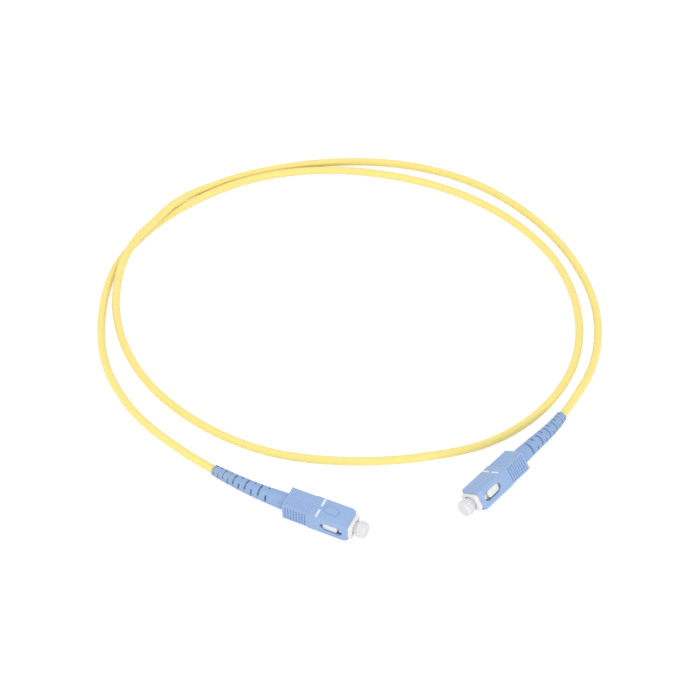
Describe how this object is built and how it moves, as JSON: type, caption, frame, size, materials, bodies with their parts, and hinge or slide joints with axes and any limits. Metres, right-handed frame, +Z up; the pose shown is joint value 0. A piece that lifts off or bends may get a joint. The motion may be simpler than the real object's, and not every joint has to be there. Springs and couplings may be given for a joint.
{
  "type": "fiber optic patch cord",
  "caption": "Simplex fiber optic patch cord: loosely coiled yellow cable with blue square push-pull plugs, slotted bend boots and clear dust caps",
  "frame": {"origin": "centre of the two plugs' box, on the ground they lie on", "axes": "+X runs from plug A towards plug B, +Y from the plugs towards the coil, +Z up"},
  "size_m": [0.1883, 0.1917, 0.0108],
  "materials": {
    "jacket": "yellow PVC, satin",
    "aramid": "straight aramid yarn",
    "buffer": "smooth 0.9 mm buffer, satin",
    "housing": "moulded PBT, satin to gloss",
    "frame": "moulded PBT, off-white",
    "ceramic": "polished zirconia, stood in for by plastic",
    "plated_metal": "nickel-plated brass",
    "spring_steel": "bright wire",
    "crimp_metal": "drawn tube",
    "boot": "soft moulded elastomer, satin",
    "cap": "milky translucent polythene"
  },
  "bodies": {
    "cord_set": {"cable_jacket": "jacket", "aramid_yarn": "aramid", "buffered_fibre": "buffer", "plug_frame_a": "frame", "plug_frame_b": "frame", "stop_ring_a": "plated_metal", "stop_ring_b": "plated_metal", "crimped_yarn_a": "aramid", "crimped_yarn_b": "aramid", "crimp_ring_a": "crimp_metal", "crimp_ring_b": "crimp_metal", "boot_a": "boot", "boot_b": "boot", "spring_a": "spring_steel", "spring_b": "spring_steel"},
    "coupling_sleeve_a": {"sleeve_a": "housing"},
    "ferrule_set_a": {"ferrule_a": "ceramic", "ferrule_holder_a": "plated_metal", "fibre_stub_a": "buffer"},
    "cap_a": {"dust_cap_a": "cap"},
    "coupling_sleeve_b": {"sleeve_b": "housing"},
    "ferrule_set_b": {"ferrule_b": "ceramic", "ferrule_holder_b": "plated_metal", "fibre_stub_b": "buffer"},
    "cap_b": {"dust_cap_b": "cap"}
  },
  "joints": [
    {"name": "unlatch_a", "type": "slide", "parent": "cord_set", "child": "coupling_sleeve_a", "axis": [-0.91, 0.4147, 0], "range_m": [0, 0.0016]},
    {"name": "ferrule_float_a", "type": "slide", "parent": "cord_set", "child": "ferrule_set_a", "axis": [-0.91, 0.4147, 0], "range_m": [0, 0.001], "stiffness_N_per_m": 2000, "deforming": ["spring_a"]},
    {"name": "cap_off_a", "type": "slide", "parent": "ferrule_set_a", "child": "cap_a", "axis": [0.91, -0.4147, 0], "range_m": [0, 0.012]},
    {"name": "unlatch_b", "type": "slide", "parent": "cord_set", "child": "coupling_sleeve_b", "axis": [0.6691, 0.7431, 0], "range_m": [0, 0.0016]},
    {"name": "ferrule_float_b", "type": "slide", "parent": "cord_set", "child": "ferrule_set_b", "axis": [0.6691, 0.7431, 0], "range_m": [0, 0.001], "stiffness_N_per_m": 2000, "deforming": ["spring_b"]},
    {"name": "cap_off_b", "type": "slide", "parent": "ferrule_set_b", "child": "cap_b", "axis": [-0.6691, -0.7431, 0], "range_m": [0, 0.012]}
  ]
}
